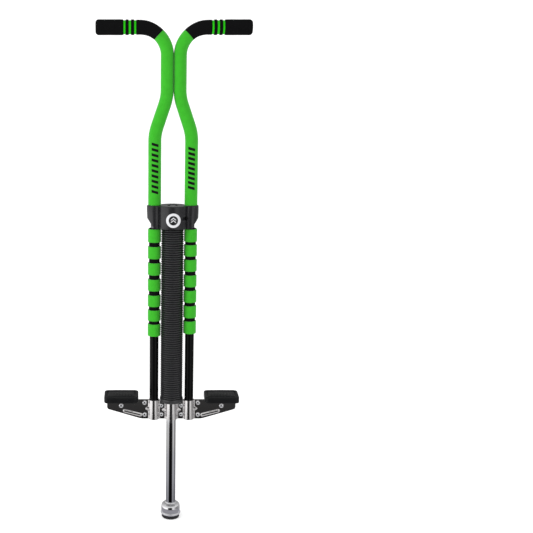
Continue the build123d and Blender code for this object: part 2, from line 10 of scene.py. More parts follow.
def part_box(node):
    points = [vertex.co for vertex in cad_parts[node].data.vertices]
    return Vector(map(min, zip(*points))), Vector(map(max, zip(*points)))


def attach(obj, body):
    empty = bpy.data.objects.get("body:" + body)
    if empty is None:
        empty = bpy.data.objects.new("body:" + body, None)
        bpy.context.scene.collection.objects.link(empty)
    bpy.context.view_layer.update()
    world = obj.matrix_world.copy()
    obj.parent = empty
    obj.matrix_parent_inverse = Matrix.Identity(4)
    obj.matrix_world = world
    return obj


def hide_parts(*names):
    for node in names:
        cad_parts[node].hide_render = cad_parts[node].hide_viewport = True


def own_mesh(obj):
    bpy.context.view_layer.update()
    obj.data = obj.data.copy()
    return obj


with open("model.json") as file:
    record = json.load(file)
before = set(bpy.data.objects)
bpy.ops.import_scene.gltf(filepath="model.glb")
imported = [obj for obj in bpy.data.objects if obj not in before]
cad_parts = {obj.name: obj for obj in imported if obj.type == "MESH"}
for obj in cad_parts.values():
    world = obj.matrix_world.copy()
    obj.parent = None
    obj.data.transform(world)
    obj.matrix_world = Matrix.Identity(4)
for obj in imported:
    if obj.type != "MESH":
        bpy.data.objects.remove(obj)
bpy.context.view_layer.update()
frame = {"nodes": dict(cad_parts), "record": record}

MM = 0.001
SIDES = {"left": -1, "right": 1}

# ---- places read from the frame ----


def low(node):
    """A node's lowest corner."""
    return Vector(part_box(node)[0])


def high(node):
    """A node's highest corner."""
    return Vector(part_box(node)[1])


def span(node):
    """A node's lowest and highest z."""
    return low(node).z, high(node).z


def tube_radius(node):
    """Half the depth of a round upright node."""
    return (high(node).y - low(node).y) / 2


TUBE_X = (high("right_frame_tube").x + low("right_frame_tube").x) / 2
TUBE_R = tube_radius("right_frame_tube")
HANDLE_Z = (span("right_end_grip")[0] + span("right_end_grip")[1]) / 2

# Handle centre line, as in the CAD
NECK_X = 14.0 * MM
TOP_BEND_R = 57.0 * MM
NECK_FOOT_Z = 978.5 * MM
S_BEND_R = 100.0 * MM
S_BEND_TURN = math.radians(18.5)
SLEEVE_START_TURN = math.radians(43.0)   # round the top bend, from the grip


# ---- materials ----


class Nodes:
    """A short way to add and link shader nodes."""

    def __init__(self, tree):
        self.tree = tree

    def put(self, socket, value):
        """Links a socket to another, or sets its constant."""
        if isinstance(value, bpy.types.NodeSocket):
            self.tree.links.new(value, socket)
        else:
            socket.default_value = value

    def add(self, kind, inputs=None, **settings):
        """A new node with these settings, and with its inputs linked or set."""
        node = self.tree.nodes.new(kind)
        for key, value in settings.items():
            setattr(node, key, value)
        for key, value in (inputs or {}).items():
            self.put(node.inputs[key], value)
        return node

    def math(self, operation, first, second=0.0, clamp=False):
        """The result of one maths operation."""
        inputs = {0: first, 1: second}
        return self.add("ShaderNodeMath", inputs, operation=operation, use_clamp=clamp).outputs[0]

    def mix(self, factor, first, second, blend="MIX"):
        """The first colour at factor 0, and its blend with the second at 1."""
        inputs = {0: factor, 6: first, 7: second}
        return self.add("ShaderNodeMix", inputs, data_type="RGBA", blend_type=blend).outputs[2]

    def ramp(self, value, *stops):
        """Colours or grey levels by value, from (value, level) stops in rising order."""
        node = self.add("ShaderNodeValToRGB", {0: value})
        elements = node.color_ramp.elements
        while len(elements) < len(stops):
            elements.new(0.5)
        for element, (position, level) in zip(elements, stops):
            element.position = position
            colour = level if isinstance(level, tuple) else (level, level, level)
            element.color = (*colour, 1)
        return node.outputs[0]

    def noise(self, place, scale, detail=3.0, roughness=0.5):
        """Smooth noise with about this many lumps to the metre."""
        inputs = {"Vector": place, "Scale": scale, "Detail": detail, "Roughness": roughness}
        return self.add("ShaderNodeTexNoise", inputs).outputs[0]


def material(name, shader_inputs):
    """A new material with its Principled shader's constant inputs set on the shader's own sockets."""
    made = bpy.data.materials.new(name)
    made.use_nodes = True
    shader = made.node_tree.nodes["Principled BSDF"]
    for key, value in shader_inputs.items():
        shader.inputs[key].default_value = value
    return made, Nodes(made.node_tree), shader


def object_place(nodes):
    """Each point's place on the object itself."""
    return nodes.add("ShaderNodeTexCoord").outputs["Object"]


def rgb(red, green, blue):
    """A linear colour from display values of 0 to 255."""
    def linear(value):
        value /= 255
        return value / 12.92 if value <= 0.04045 else ((value + 0.055) / 1.055) ** 2.4
    return (linear(red), linear(green), linear(blue), 1.0)


def shade(colour, factor):
    """A darker or lighter colour."""
    return tuple(channel * factor for channel in colour[:3]) + (1.0,)


def finish_look(nodes, shader, colour, roughness, relief, strength, depth):
    """Links a shader's colour and roughness, and a fine bump from its relief."""
    bump = nodes.add("ShaderNodeBump", {"Height": relief, "Strength": strength, "Distance": depth})
    nodes.put(shader.inputs["Base Color"], colour)
    nodes.put(shader.inputs["Roughness"], roughness)
    nodes.put(shader.inputs["Normal"], bump.outputs[0])


def foam(name, colour, sheen=0.0, specular=0.1, printed=None):
    """Closed-cell foam: small cells, slight mottling and a dull skin. printed() gives a mask of black ink."""
    made, nodes, shader = material(name, {
        "IOR": 1.42, "Specular IOR Level": specular, "Sheen Weight": sheen, "Sheen Roughness": 0.4,
    })
    place = object_place(nodes)
    mottle = nodes.noise(place, 90.0, 4.0, 0.6)
    cloudy = nodes.ramp(mottle, (0.3, 0.0), (0.7, 1.0))
    shaded = nodes.mix(cloudy, shade(colour, 0.94), shade(colour, 1.05))
    cells = nodes.add("ShaderNodeTexVoronoi", {"Vector": place, "Scale": 1400.0}, feature="F1")
    pores = nodes.ramp(cells.outputs["Distance"], (0.0, 0.0), (0.35, 1.0))
    pore_shadow = nodes.math("MULTIPLY", nodes.math("SUBTRACT", 1.0, pores), 0.25)
    shaded = nodes.mix(pore_shadow, shaded, shade(colour, 0.6))
    if printed:
        shaded = nodes.mix(printed(nodes, place), shaded, rgb(12, 14, 12))
    rough = nodes.math("ADD", nodes.math("MULTIPLY", mottle, 0.16), 0.55)
    grain = nodes.math("ADD", nodes.math("MULTIPLY", pores, 0.5), nodes.noise(place, 650.0, 3.0, 0.6))
    finish_look(nodes, shader, shaded, rough, grain, 0.3, 0.3 * MM)
    return made


def moulding(name, colour, rough, grain_scale, grain_depth, specular=0.5, badge=None):
    """Moulded plastic or rubber with a spark-eroded grain and faint handling marks."""
    made, nodes, shader = material(name, {"Specular IOR Level": specular})
    place = object_place(nodes)
    cloud = nodes.noise(place, 45.0, 5.0, 0.6)
    worn = nodes.mix(nodes.ramp(cloud, (0.35, 0.0), (0.75, 1.0)), shade(colour, 0.88), shade(colour, 1.18))
    if badge:
        worn = nodes.mix(badge(nodes, place), worn, rgb(208, 208, 211))
    roughness = nodes.math("ADD", nodes.math("MULTIPLY", cloud, 0.18), rough - 0.09)
    grain = nodes.noise(place, grain_scale, 2.0, 0.5)
    finish_look(nodes, shader, worn, roughness, grain, 0.3, grain_depth)
    return made


def metal(name, colour, rough, brushed=0.0, spread=0.05):
    """Plated or plain steel: faint clouding, and fine scratches that run along Z when brushed."""
    made, nodes, shader = material(name, {"Metallic": 1.0})
    place = object_place(nodes)
    cloud = nodes.noise(place, 60.0, 4.0, 0.6)
    tinted = nodes.mix(cloud, shade(colour, 0.93), colour)
    roughness = nodes.math("ADD", nodes.math("MULTIPLY", cloud, spread), rough)
    across, along = 2600.0, 60.0 if brushed else 2600.0
    stretched = nodes.add("ShaderNodeMapping", {"Vector": place, "Scale": (across, across, along)})
    scratches = nodes.noise(stretched.outputs[0], 1.0, 2.0, 0.5)
    finish_look(nodes, shader, tinted, roughness, scratches, 0.04 + brushed, 0.04 * MM)
    return made


def gloss_paint(name, colour):
    """Gloss powder coat, with a slight orange peel and a few dull specks."""
    made, nodes, shader = material(name, {"Specular IOR Level": 0.12})
    place = object_place(nodes)
    peel = nodes.noise(place, 420.0, 2.0, 0.5)
    specks = nodes.ramp(nodes.noise(place, 1500.0, 1.0, 0.4), (0.68, 0.0), (0.74, 1.0))
    base = nodes.mix(nodes.math("MULTIPLY", specks, 0.3), colour, shade(colour, 3.0))
    roughness = nodes.math("ADD", nodes.math("MULTIPLY", nodes.noise(place, 30.0, 3.0), 0.12), 0.16)
    finish_look(nodes, shader, base, roughness, peel, 0.12, 0.1 * MM)
    return made


PRINT_EDGE = 0.3 * MM   # softness of printed edges


def coordinates(nodes, place):
    """The x, y and z sockets of a place."""
    return nodes.add("ShaderNodeSeparateXYZ", {0: place}).outputs


def inside(nodes, value, centre, half):
    """1 where value is within half of centre, 0 outside, with a thin soft edge."""
    away = nodes.math("ABSOLUTE", nodes.math("SUBTRACT", value, centre))
    return nodes.math("DIVIDE", nodes.math("SUBTRACT", half, away), PRINT_EDGE, clamp=True)


def all_of(nodes, *masks):
    """The product of several masks."""
    product = masks[0]
    for mask in masks[1:]:
        product = nodes.math("MULTIPLY", product, mask)
    return product


def slanted_bars(side, half_z, count):
    """Printing on a sleeve's front: a column of slanted black bars."""
    centre_x, centre_z = side * (TUBE_X - 0.4 * MM), 811.8 * MM
    half_x, slope, width, margin = 7.5 * MM, 0.28, 6.2 * MM, 1.2 * MM
    pitch = (2 * half_z - 2 * margin - width) / (count - 1)

    def mask(nodes, place):
        x, y, z = coordinates(nodes, place)
        across = nodes.math("SUBTRACT", x, centre_x)
        lean = nodes.math("ADD", z, nodes.math("MULTIPLY", across, slope))
        column = nodes.math("FLOORED_MODULO", nodes.math("SUBTRACT", lean, centre_z - half_z), pitch)
        bars = inside(nodes, column, width / 2 + margin, width / 2)
        column_width = inside(nodes, across, 0.0, half_x)
        column_height = inside(nodes, lean, centre_z, half_z)
        return all_of(nodes, bars, column_width, column_height, nodes.math("LESS_THAN", y, 0.0))

    return mask


def collar_badge(nodes, place):
    """A light ring with two upward chevrons, printed on the collar's front."""
    centre_x, centre_z = 0.4 * MM, 701.3 * MM
    ring_r, ring_half = 12.9 * MM, 2.9 * MM
    chevron_slope, chevron_half_x, chevron_half_z = 0.8, 5.6 * MM, 1.25 * MM
    x, y, z = coordinates(nodes, place)
    x = nodes.math("SUBTRACT", x, centre_x)
    up = nodes.math("SUBTRACT", z, centre_z)
    squares = nodes.math("ADD", nodes.math("MULTIPLY", x, x), nodes.math("MULTIPLY", up, up))
    mask = inside(nodes, nodes.math("SQRT", squares), ring_r, ring_half)
    fold = nodes.math("ADD", up, nodes.math("MULTIPLY", nodes.math("ABSOLUTE", x), chevron_slope))
    within = inside(nodes, x, 0.0, chevron_half_x)
    for level in (0.4 * MM, 5.6 * MM):
        chevron = nodes.math("MULTIPLY", inside(nodes, fold, level, chevron_half_z), within)
        mask = nodes.math("MAXIMUM", mask, chevron)
    return nodes.math("MULTIPLY", mask, nodes.math("LESS_THAN", y, 0.0))


GREEN = (0.036, 0.365, 0.018, 1.0)
GREEN_SHEEN = 0.3
MATERIALS = {
    "green_foam": foam("green_foam", GREEN, GREEN_SHEEN),
    "left_sleeve_foam": foam("left_sleeve_foam", GREEN, GREEN_SHEEN, printed=slanted_bars(-1, 55 * MM, 10)),
    "right_sleeve_foam": foam("right_sleeve_foam", GREEN, GREEN_SHEEN, printed=slanted_bars(1, 46 * MM, 9)),
    "stripe_foam": foam("stripe_foam", (0.020, 0.52, 0.006, 1.0)),
    "black_foam": foam("black_foam", rgb(13, 13, 14), specular=0.05),
    "satin_black_plastic": moulding("satin_black_plastic", rgb(34, 34, 36), 0.42, 900.0, 0.00006),
    "button_plastic": moulding("button_plastic", rgb(8, 8, 9), 0.6, 900.0, 0.00006),
    "collar_plastic": moulding("collar_plastic", rgb(32, 32, 34), 0.22, 900.0, 0.00003, badge=collar_badge),
    "black_rubber": moulding("black_rubber", rgb(33, 33, 35), 0.33, 700.0, 0.00006, specular=0.75),
    "peg_rubber": moulding("peg_rubber", rgb(11, 12, 14), 0.45, 600.0, 0.00008, specular=0.25),
    "tip_rubber": moulding("tip_rubber", rgb(24, 24, 27), 0.55, 500.0, 0.00015),
    "white_nylon": moulding("white_nylon", rgb(226, 222, 212), 0.45, 600.0, 0.00006),
    "black_paint": gloss_paint("black_paint", rgb(8, 8, 8)),
    "chrome_tube": metal("chrome_tube", (0.80, 0.80, 0.82, 1.0), 0.03, spread=0.03),
    "chrome_plate": metal("chrome_plate", (0.80, 0.78, 0.78, 1.0), 0.06),
    "chrome_rivet": metal("chrome_rivet", (0.82, 0.82, 0.84, 1.0), 0.08),
    "zinc_steel": metal("zinc_steel", (0.62, 0.63, 0.66, 1.0), 0.28, brushed=0.08),
    # Painted shade: the spigot tubes under the collar are plated like the plunger, and this darker colour
    # stands in for the shade and dark reflections from the collar and foam around them
    "dark_steel": metal("dark_steel", (0.16, 0.16, 0.17, 1.0), 0.22, brushed=0.04),
    "spring_steel": metal("spring_steel", (0.30, 0.30, 0.32, 1.0), 0.35, brushed=0.05),
}
SLOT_OF = {entry["node"]: entry["material_slot"] for entry in frame["record"]["subparts"]}
BODY_OF = {node: body for body, nodes in frame["record"]["behaviour"]["bodies"].items() for node in nodes}


# ---- mesh helpers ----


def piece(name, verts, faces, node, look=None, sharp=35.0):
    """A new piece that stands for a CAD node, rides on its body and takes its material slot."""
    mesh = bpy.data.meshes.new(name)
    mesh.from_pydata([tuple(v) for v in verts], [], faces)
    mesh.validate()
    mesh.shade_smooth()
    mesh.set_sharp_from_angle(angle=math.radians(sharp))
    mesh.materials.append(MATERIALS[look or SLOT_OF[node]])
    made = bpy.data.objects.new(name, mesh)
    bpy.context.collection.objects.link(made)
    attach(made, BODY_OF[node])
    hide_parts(node)
    return made


def joined(parts):
    """Several (verts, faces) as one."""
    verts, faces = [], []
    for more_verts, more_faces in parts:
        start = len(verts)
        verts += more_verts
        faces += [tuple(start + i for i in face) for face in more_faces]
    return verts, faces


def moved(part, matrix):
    """A (verts, faces) pair under a matrix. A mirror turns its faces round."""
    verts, faces = part
    flip = matrix.determinant() < 0
    return [matrix @ v for v in verts], [tuple(reversed(face)) for face in faces] if flip else faces


def rounded(corners, radius, steps):
    """A closed outline with curved corners. A corner may carry its own radius as a third value."""
    result = []
    for i, corner in enumerate(corners):
        here = Vector(corner[:2])
        before = Vector(corners[i - 1][:2]) - here
        after = Vector(corners[(i + 1) % len(corners)][:2]) - here
        reach = corner[2] if len(corner) > 2 else radius
        reach = min(reach, before.length * 0.48, after.length * 0.48)
        if reach < 1e-6:
            result.append(here)
            continue
        start, end = here + before.normalized() * reach, here + after.normalized() * reach
        for step in range(steps + 1):
            t = step / steps
            result.append(start * (1 - t) ** 2 + here * 2 * t * (1 - t) + end * t ** 2)
    return [tuple(point) for point in result]


def lathe(outline, segments, closed=True, wobble=None):
    """A body of revolution about Z from (radius, height) points. Points on the axis are shared."""
    verts, rings = [], []
    for radius, height in outline:
        if radius < 1e-7:
            rings.append([len(verts)] * segments)
            verts.append(Vector((0, 0, height)))
            continue
        rings.append(list(range(len(verts), len(verts) + segments)))
        for k in range(segments):
            turn = math.tau * k / segments
            verts.append(Vector((radius * math.cos(turn), radius * math.sin(turn), height)))
    if wobble:
        verts = [wobble(v) for v in verts]
    faces = []
    pairs = list(zip(rings, rings[1:]))
    if closed:
        pairs.append((rings[-1], rings[0]))
    for first, second in pairs:
        for k in range(segments):
            n = (k + 1) % segments
            face = [first[k], first[n], second[n], second[k]]
            face = [v for j, v in enumerate(face) if v != face[j - 1]]
            if len(face) > 2:
                faces.append(tuple(face))
    return verts, faces


def skin_swell(spot, seed):
    """How far foam's slightly uneven skin stands out at a spot, from smooth noise."""
    amount, patch = 0.12 * MM, 14 * MM
    return amount * noise.noise(spot / patch + Vector((seed, 0, 0)))


def foam_wobble(seed):
    """Foam's uneven skin on an upright body: a push along the radius."""
    def push(v):
        away = Vector((v.x, v.y, 0))
        if away.length < 1e-6:
            return v
        return v + away.normalized() * skin_swell(v, seed)
    return push


def sleeve_outline(outer, inner, start, end, edge):
    """A hollow sleeve's section with rounded outer edges and enough rows to follow the wobble."""
    rows = max(2, int((end - start) / (4 * MM)))
    sides = [(outer, start + edge + (end - start - 2 * edge) * i / rows, 0.0) for i in range(1, rows)]
    foot = [(inner, start, 0.4 * MM), (outer, start, edge)]
    return rounded([*foot, *sides, (outer, end, edge), (inner, end, 0.4 * MM)], edge, 6)


def upright(x):
    """A move from the Z axis to a parallel one at x."""
    return Matrix.Translation((x, 0, 0))


def lying(side):
    """From the Z axis to a handle's straight grip: height becomes distance outwards along X."""
    return Matrix(((0, 0, side, 0), (0, side, 0, 0), (-1, 0, 0, HANDLE_Z), (0, 0, 0, 1)))


def padded_piece(name, mesh, node, look=None):
    """A piece of foam."""
    made = piece(name, *mesh, node, look)


# ---- handles ----

BEND_L = TOP_BEND_R * math.pi / 2
NECK_L = HANDLE_Z - TOP_BEND_R - NECK_FOOT_Z
S_ARC_L = S_BEND_R * S_BEND_TURN
S_ARC = Vector((S_BEND_R * (1 - math.cos(S_BEND_TURN)), 0, -S_BEND_R * math.sin(S_BEND_TURN)))
SLOPE = Vector((math.sin(S_BEND_TURN), 0, -math.cos(S_BEND_TURN)))
SLOPE_L = (TUBE_X - NECK_X - 2 * S_ARC.x) / SLOPE.x


def handle_point(s):
    """The right handle's centre line, s metres on from the start of the top bend, and its heading."""
    if s < 0:
        return Vector((NECK_X + TOP_BEND_R - s, 0, HANDLE_Z)), Vector((-1, 0, 0))
    if s < BEND_L:
        turn = s / TOP_BEND_R
        x = NECK_X + TOP_BEND_R * (1 - math.sin(turn))
        place = Vector((x, 0, HANDLE_Z - TOP_BEND_R * (1 - math.cos(turn))))
        return place, Vector((-math.cos(turn), 0, -math.sin(turn)))
    s -= BEND_L
    if s < NECK_L:
        return Vector((NECK_X, 0, HANDLE_Z - TOP_BEND_R - s)), Vector((0, 0, -1))
    s -= NECK_L
    foot = Vector((NECK_X, 0, NECK_FOOT_Z))
    if s < S_ARC_L:
        turn = s / S_BEND_R
        heading = Vector((math.sin(turn), 0, -math.cos(turn)))
        return foot + S_BEND_R * Vector((1 - math.cos(turn), 0, -math.sin(turn))), heading
    s -= S_ARC_L
    if s < SLOPE_L:
        return foot + S_ARC + SLOPE * s, SLOPE.copy()
    s -= SLOPE_L
    top = foot + S_ARC + SLOPE * SLOPE_L
    if s < S_ARC_L:
        turn = S_BEND_TURN - s / S_BEND_R
        offset = S_ARC - S_BEND_R * Vector((1 - math.cos(turn), 0, -math.sin(turn)))
        return top + offset, Vector((math.sin(turn), 0, -math.cos(turn)))
    return top + S_ARC + Vector((0, 0, S_ARC_L - s)), Vector((0, 0, -1))


STRAIGHT_TOP_S = BEND_L + NECK_L + 2 * S_ARC_L + SLOPE_L
STRAIGHT_TOP_Z = NECK_FOOT_Z + 2 * S_ARC.z + SLOPE.z * SLOPE_L


SLEEVE_START = SLEEVE_START_TURN * TOP_BEND_R
NECK_END = BEND_L + NECK_L
FOAM_INNER = TUBE_R + 0.15 * MM


def handle_sleeve_mesh(start, end, radius, edge, seed):
    """A foam sleeve along the handle from s=start to s=end. radius(s) is its outer radius."""
    step, segments = 3 * MM, 56
    squeeze, half_gap = 0.25 * MM, 0.01 * MM
    rows = max(2, int((end - start) / step))
    edge_turns = [math.pi / 2 * i / 6 for i in range(1, 6)]
    stations = [(start, FOAM_INNER), (start, radius(start) - edge)]
    for turn in edge_turns:
        at = start + edge * (1 - math.cos(turn))
        stations.append((at, radius(at) - edge * (1 - math.sin(turn))))
    for i in range(rows + 1):
        at = start + edge + (end - start - 2 * edge) * i / rows
        stations.append((at, radius(at)))
    for turn in reversed(edge_turns):
        at = end - edge * (1 - math.cos(turn))
        stations.append((at, radius(at) - edge * (1 - math.sin(turn))))
    stations += [(end, radius(end) - edge), (end, FOAM_INNER)]
    stations += [(end - (end - start) * i / rows, FOAM_INNER) for i in range(1, rows)]
    verts, faces = [], []
    for at, r in stations:
        place, heading = handle_point(at)
        side_way = heading.cross(Vector((0, 1, 0)))
        for k in range(segments):
            turn = math.tau * k / segments
            out = side_way * math.cos(turn) + Vector((0, 1, 0)) * math.sin(turn)
            spot = place + out * r
            if r > FOAM_INNER * 1.05:
                spot += out * skin_swell(spot, seed)
                spot.x = max(spot.x - squeeze * nearness(at), half_gap)
            verts.append(spot)
    count = len(stations)
    for i in range(count):
        first, second = i * segments, (i + 1) % count * segments
        for k in range(segments):
            n = (k + 1) % segments
            faces.append((first + k, second + k, second + n, first + n))
    return verts, faces


def blend_between(value, marks):
    """A smooth value from (place, value) marks."""
    for (place_a, a), (place_b, b) in zip(marks, marks[1:]):
        if value <= place_b:
            t = min(1.0, max(0.0, (value - place_a) / (place_b - place_a)))
            return a + (b - a) * t * t * (3 - 2 * t)
    return marks[-1][1]


def nearness(s):
    """1 where the two sleeves are squeezed together, 0 away from there."""
    return blend_between(s, [(SLEEVE_START, 0.0), (BEND_L, 1.0), (NECK_END, 1.0), (STRAIGHT_TOP_S, 0.0)])


def sleeve_radius(s):
    """A little fuller at its two ends than in the bends."""
    marks = [
        (SLEEVE_START, 14.0 * MM), (BEND_L, 13.9 * MM), (NECK_END, 13.9 * MM), (STRAIGHT_TOP_S, 14.15 * MM),
    ]
    return blend_between(s, marks)


def curved_grip_radius(s):
    """Thick beside the rings, drawn in where the green sleeve starts."""
    return blend_between(s, [(-10 * MM, 15.4 * MM), (5 * MM, 15.2 * MM), (SLEEVE_START, 14.0 * MM)])


def build_handles():
    """The foam on both handles."""
    grip_start = -(high("right_curved_grip").x - NECK_X - TOP_BEND_R)
    foot = STRAIGHT_TOP_S + STRAIGHT_TOP_Z - span("right_handle_sleeve")[0]
    half_gap = 0.1 * MM
    for name, side in SIDES.items():
        flip = Matrix.Scale(side, 4, (1, 0, 0))
        sleeve = handle_sleeve_mesh(SLEEVE_START + half_gap, foot, sleeve_radius, 1.2 * MM, side * 3.7)
        look = f"{name}_sleeve_foam"
        padded_piece(look, moved(sleeve, flip), f"{name}_handle_sleeve", look)
        grip_end = SLEEVE_START - half_gap
        grip = handle_sleeve_mesh(grip_start, grip_end, curved_grip_radius, 0.8 * MM, side * 9.1)
        padded_piece(f"{name}_curved_grip_foam", moved(grip, flip), f"{name}_curved_grip")
        build_stripes(name, side)
        build_end_grip(name, side)


def build_stripes(name, side):
    """The green stripe sleeve, its grooves, and the two black rings in them."""
    start, end = low("right_stripe_sleeve").x, high("right_stripe_sleeve").x
    ring_w, ring_r, segments = 6.5 * MM, 16.0 * MM, 56
    ring_starts = (low("right_grip_rings").x, high("right_grip_rings").x - ring_w)
    full, core, edge = 14.3 * MM, 13.0 * MM, 0.9 * MM
    corners = [(FOAM_INNER, start), (full, start, edge)]
    for ring in ring_starts:
        ring_end = ring + ring_w
        corners += [(full, ring, edge), (core, ring, 0.1 * MM)]
        corners += [(core, ring_end, 0.1 * MM), (full, ring_end, edge)]
    corners += [(full, end, edge), (FOAM_INNER, end)]
    stripes = moved(lathe(rounded(corners, 0.2 * MM, 4), segments), lying(side))
    padded_piece(f"{name}_stripes", stripes, f"{name}_stripe_sleeve", "stripe_foam")
    ring_parts = []
    for k, ring in enumerate(ring_starts):
        ring_end = ring + ring_w
        section = [(core, ring, 0.1 * MM), (ring_r, ring, 1.3 * MM)]
        section += [(ring_r, ring_end, 1.3 * MM), (core, ring_end, 0.1 * MM)]
        body = lathe(rounded(section, 1 * MM, 6), segments, wobble=foam_wobble(side + k))
        ring_parts.append(moved(body, lying(side)))
    padded_piece(f"{name}_black_rings", joined(ring_parts), f"{name}_grip_rings")


def build_end_grip(name, side):
    """The closed end grip, with a tapered, softly edged end."""
    start, end = low("right_end_grip").x, high("right_end_grip").x
    outer, end_wall, rows = 16.15 * MM, 3 * MM, 14
    sides = [(outer, start + 4 * MM + (end - start - 13 * MM) * i / rows, 0.0) for i in range(rows + 1)]
    section = [
        (FOAM_INNER, start, 0.3 * MM), (outer - 0.2 * MM, start, 1.6 * MM), *sides,
        (outer, end - 4.2 * MM, 2.4 * MM), (outer - 3.4 * MM, end, 2.4 * MM),
        (0.0, end, 0.0), (0.0, end - end_wall, 0.0), (FOAM_INNER, end - end_wall, 0.3 * MM),
    ]
    grip = lathe(rounded(section, 1 * MM, 8), 64, wobble=foam_wobble(side * 5))
    padded_piece(f"{name}_end_grip_foam", moved(grip, lying(side)), f"{name}_end_grip")


# ---- foam on the frame tubes ----


def ring_spans(node):
    """The foot and top of each of a node's separate rings, which its points' heights give."""
    rings = frame["nodes"][node]
    heights = sorted({round((rings.matrix_world @ v.co).z, 5) for v in rings.data.vertices})
    return list(zip(heights[::2], heights[1::2]))


def build_lower_foam():
    """The black cores and the seven green rings on each."""
    ring_r, ring_edge, core_edge, segments = 14.4 * MM, 2.2 * MM, 1.0 * MM, 64
    core_r = tube_radius("right_foam_core")
    for name, side in SIDES.items():
        place = upright(side * TUBE_X)
        parts = []
        for i, (start, end) in enumerate(ring_spans(f"{name}_foam_rings")):
            outline = sleeve_outline(ring_r, core_r - 0.3 * MM, start, end, ring_edge)
            parts.append(moved(lathe(outline, segments, wobble=foam_wobble(side * 11 + i)), place))
        padded_piece(f"{name}_green_rings", joined(parts), f"{name}_foam_rings")
        foot, top = span(f"{name}_foam_core")
        outline = sleeve_outline(core_r, FOAM_INNER, foot, top, core_edge)
        core = moved(lathe(outline, segments, wobble=foam_wobble(side * 17)), place)
        padded_piece(f"{name}_black_core", core, f"{name}_foam_core")


# ---- bellows ----


def build_bellows():
    """The corrugated cover with round ribs and deep folds, and the cap that it stands in."""
    foot, top = span("bellows")
    bore, valley, crest = 21.0 * MM, 21.7 * MM, tube_radius("bellows") + 0.15 * MM
    ribs, steps = 77, 12
    rib_low, rib_high = 292.0 * MM, 679.0 * MM
    pitch = (rib_high - rib_low) / ribs
    outline = [(bore, foot), (valley, foot), (valley, rib_low - 0.2 * MM)]
    for i in range(ribs * steps + 1):
        phase = i / steps % 1.0
        swell = abs(math.sin(math.pi * phase)) ** 0.9
        outline.append((valley + (crest - valley) * swell, rib_low + pitch * i / steps))
    outline += [(valley, rib_high + 0.2 * MM), (valley, top), (bore, top)]
    piece("spring_cover", *lathe(outline, 72), "bellows", sharp=60)
    cap_foot, cap_top = span("bellows_cap")
    cap_r = tube_radius("bellows_cap")
    cap_bore, socket, cap_floor = 16.2 * MM, crest + 0.1 * MM, foot - 0.2 * MM
    section = [
        (cap_bore, cap_foot, 0.3 * MM), (cap_r - 1.0 * MM, cap_foot, 3.5 * MM),
        (cap_r, cap_foot + 7 * MM, 1 * MM), (cap_r - 0.6 * MM, cap_top, 1.5 * MM),
        (socket, cap_top, 0.3 * MM), (socket, cap_floor, 0.2 * MM), (cap_bore, cap_floor, 0.2 * MM),
    ]
    piece("cover_cap", *lathe(rounded(section, 0.4 * MM, 8), 96), "bellows_cap")


def build_spring():
    """The coil between the two seats, at the length the CAD gives it; the real one shortens as the plunger
    slides in.
    """
    foot, top = span("main_spring")
    wire_r = 3.0 * MM
    coil_r = tube_radius("main_spring") - wire_r
    turns, steps, segments = 32, 26, 12
    rise = (top - foot - 2 * wire_r) / (turns * steps)
    verts, faces = [], []
    for i in range(turns * steps + 1):
        turn = math.tau * i / steps
        out = Vector((math.cos(turn), math.sin(turn), 0))
        for k in range(segments):
            around = math.tau * k / segments
            reach = coil_r + wire_r * math.cos(around)
            verts.append(out * reach + Vector((0, 0, foot + wire_r + rise * i + wire_r * math.sin(around))))
    for i in range(turns * steps):
        for k in range(segments):
            n = (k + 1) % segments
            a, b = i * segments, (i + 1) * segments
            faces.append((a + k, b + k, b + n, a + n))
    faces.append(tuple(range(segments)))
    faces.append(tuple(reversed(range(turns * steps * segments, (turns * steps + 1) * segments))))
    coil = piece("spring_coil", verts, faces, "main_spring")
    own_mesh(coil)


# ---- plunger and foot ----


def plain_tube(name, node, wall, x=0.0):
    """A CAD tube with softened ends. Extra rows near them keep its long face shaded as straight."""
    edge, segments = 0.4 * MM, 96
    foot, top = span(node)
    outer = tube_radius(node)
    section = [
        (outer - wall, foot), (outer, foot), (outer, foot + 2 * edge, 0.0), (outer, foot + 3 * edge, 0.0),
        (outer, top - 3 * edge, 0.0), (outer, top - 2 * edge, 0.0), (outer, top), (outer - wall, top),
    ]
    piece(name, *moved(lathe(rounded(section, edge, 3), segments), upright(x)), node)


def build_tubes():
    """The chromed plunger and the black frame tubes."""
    plain_tube("plunger_chrome", "plunger_tube", 2.0 * MM)
    for name, side in SIDES.items():
        plain_tube(f"{name}_frame_black", f"{name}_frame_tube", 1.5 * MM, side * TUBE_X)


